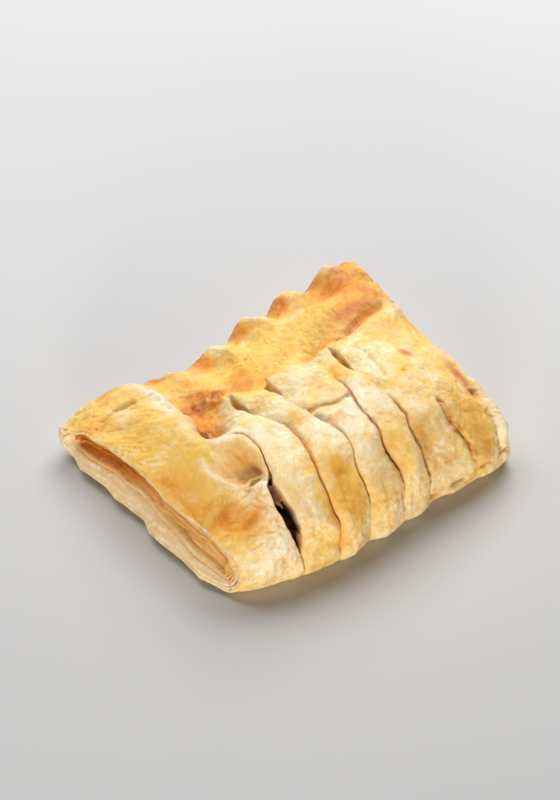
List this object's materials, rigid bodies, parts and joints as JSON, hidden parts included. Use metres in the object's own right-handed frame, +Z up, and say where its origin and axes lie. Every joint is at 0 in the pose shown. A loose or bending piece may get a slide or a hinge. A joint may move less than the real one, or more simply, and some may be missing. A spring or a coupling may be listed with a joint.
{
  "type": "savory puff pastry",
  "caption": "Folded puff pastry parcel with a slit top, a pressed wavy back edge, layered cut ends and a dark savoury filling showing in the open slit.",
  "frame": {"origin": "centre of the underside, on the surface that the pastry lies on", "axes": "+X along the length to the end with the tall rounded corner, +Y to the pressed wavy back edge, +Z up"},
  "size_m": [0.1237, 0.1065, 0.0388],
  "materials": {
    "crust": "baked puff pastry: cream and golden yellow egg wash with orange-brown patches",
    "filling": "moist dark brown savoury filling"
  },
  "bodies": {
    "root": {"pastry": "crust", "filling": "filling"}
  },
  "joints": []
}
